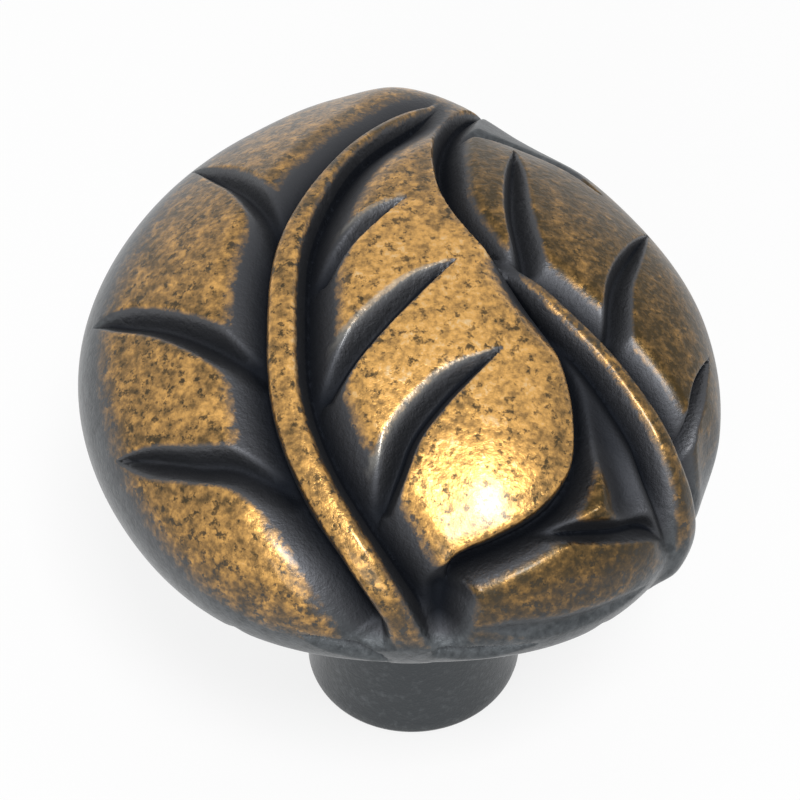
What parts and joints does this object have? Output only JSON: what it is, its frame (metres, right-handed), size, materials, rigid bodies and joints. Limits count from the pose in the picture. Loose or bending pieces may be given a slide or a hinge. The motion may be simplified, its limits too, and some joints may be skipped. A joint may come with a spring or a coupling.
{
  "type": "cabinet knob",
  "caption": "Round cabinet knob with a domed head carved with two overlapping leaves, a short flared stem and a blind screw hole in its foot.",
  "frame": {"origin": "centre of the foot's flat face, which seats on the door or drawer front", "axes": "+Z along the screw axis, out of the door; the front leaf's stalk points to -Y and +X is to the right with the stalk down"},
  "size_m": [0.0341, 0.0374, 0.0356],
  "materials": {
    "antique_brass": "antique brass plating on a zinc casting, darkened grey-black in the recesses, on the rim and on the stem, and rubbed back to mottled gold on the high ground of the leaves"
  },
  "bodies": {
    "root": {"knob": "antique_brass"}
  },
  "joints": []
}
